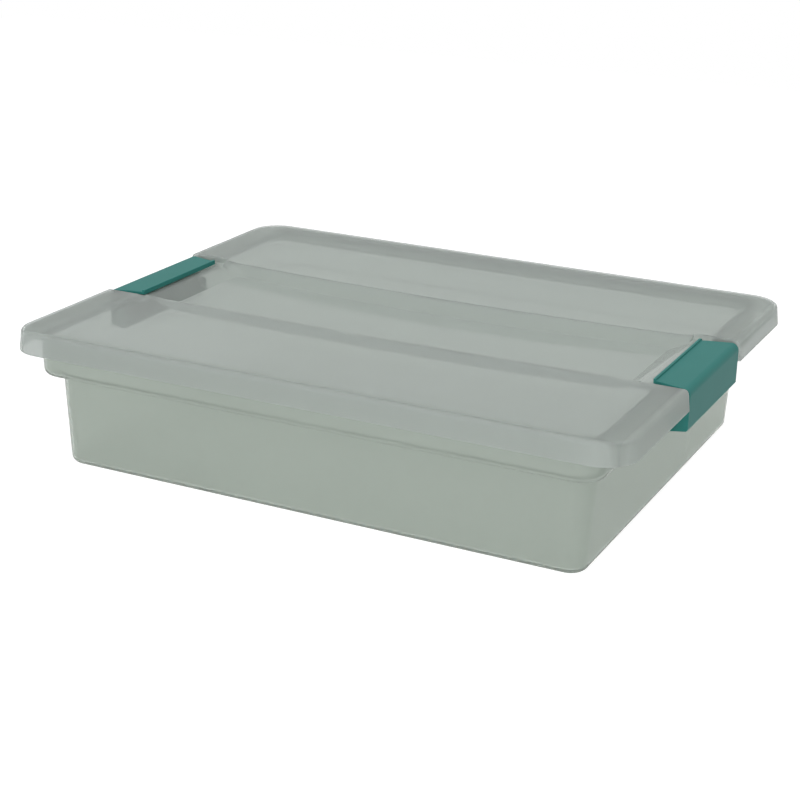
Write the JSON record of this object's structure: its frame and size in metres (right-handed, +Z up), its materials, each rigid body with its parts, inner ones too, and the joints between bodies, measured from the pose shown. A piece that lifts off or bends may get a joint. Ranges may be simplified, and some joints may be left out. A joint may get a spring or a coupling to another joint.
{
  "type": "clip-lock storage box",
  "caption": "Shallow rectangular storage box: translucent stepped tub, lift-off lid with a channel across it, and hinged end latches that clip over the lid.",
  "frame": {"origin": "on the table, under the middle of the box", "axes": "+X along the box's length towards the right latch, +Y across it towards the back, +Z up"},
  "size_m": [0.3556, 0.2794, 0.0781],
  "materials": {
    "tub": "moulded translucent polypropylene, semi-gloss",
    "lid": "moulded translucent polypropylene, semi-gloss",
    "right_latch": "moulded opaque teal plastic, semi-gloss",
    "left_latch": "moulded opaque teal plastic, semi-gloss"
  },
  "bodies": {
    "tub": {"tub": "tub"},
    "lid": {"lid": "lid"},
    "right_latch": {"right_latch": "right_latch"},
    "left_latch": {"left_latch": "left_latch"}
  },
  "joints": [
    {"name": "right_latch_swing", "type": "hinge", "parent": "tub", "child": "right_latch", "pos_m": [0.168, 0, 0.0554], "axis": [0, 1, 0], "range_deg": [0, 125]},
    {"name": "left_latch_swing", "type": "hinge", "parent": "tub", "child": "left_latch", "pos_m": [-0.168, 0, 0.0554], "axis": [0, -1, 0], "range_deg": [0, 125]},
    {"name": "lid_lift", "type": "slide", "parent": "tub", "child": "lid", "axis": [0, 0, 1], "range_m": [0, 0.12]}
  ]
}
